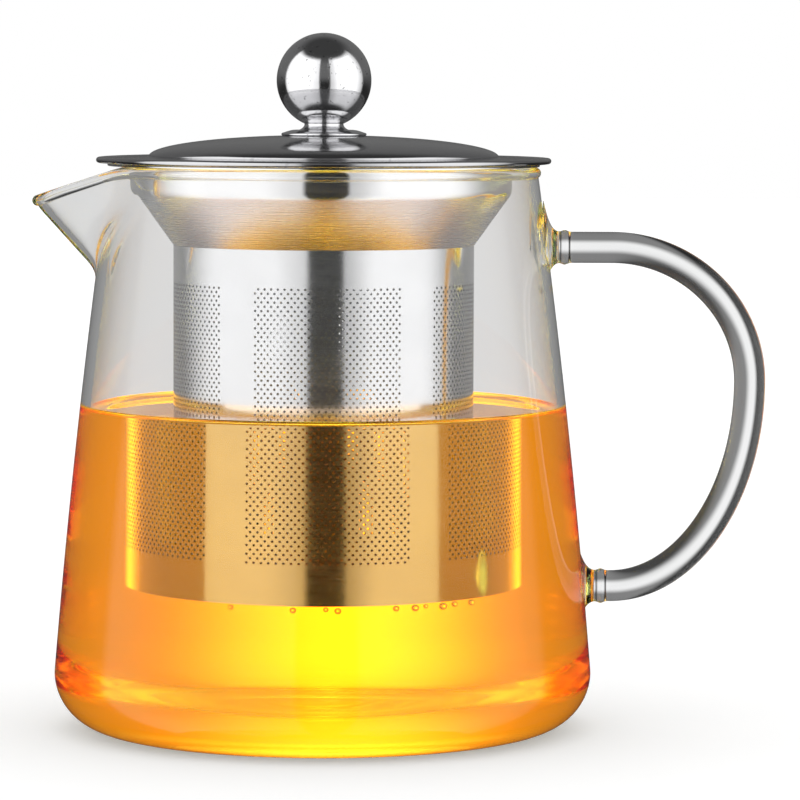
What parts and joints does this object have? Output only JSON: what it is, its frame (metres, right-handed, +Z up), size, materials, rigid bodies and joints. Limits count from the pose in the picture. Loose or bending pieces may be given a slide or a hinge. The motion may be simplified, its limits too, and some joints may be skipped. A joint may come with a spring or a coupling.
{
  "type": "glass teapot",
  "caption": "Glass teapot with a drawn spout, ear-shaped glass rod handle, perforated steel infuser basket and domed steel lid with a ball knob.",
  "frame": {"origin": "centre of the flat base, on the axis of the vessel, where the teapot stands on the table", "axes": "+Z up along the axis of the vessel, -X towards the tip of the spout, +X towards the handle"},
  "size_m": [0.1552, 0.1138, 0.1471],
  "materials": {
    "vessel_glass": "clear borosilicate glass",
    "rod_glass": "clear borosilicate glass rod",
    "polished_steel": "polished stainless steel",
    "satin_steel": "satin stainless steel",
    "lid_steel": "polished stainless steel",
    "mirror_steel": "mirror-polished stainless steel"
  },
  "bodies": {
    "vessel": {"glass_body": "vessel_glass", "glass_handle": "rod_glass", "handle_upper_weld": "rod_glass", "handle_lower_weld": "rod_glass"},
    "infuser": {"infuser_collar": "polished_steel", "infuser_sleeve": "satin_steel", "infuser_base": "satin_steel"},
    "lid": {"lid_shell": "lid_steel", "lid_inner_ring": "satin_steel", "knob_ball": "mirror_steel", "knob_stem": "mirror_steel", "knob_washer": "satin_steel", "knob_screw": "satin_steel"}
  },
  "joints": [
    {"name": "infuser_lift", "type": "slide", "parent": "vessel", "child": "infuser", "axis": [0, 0, 1], "range_m": [0, 0.105]},
    {"name": "lid_lift", "type": "slide", "parent": "infuser", "child": "lid", "axis": [0, 0, 1], "range_m": [0, 0.04]}
  ]
}
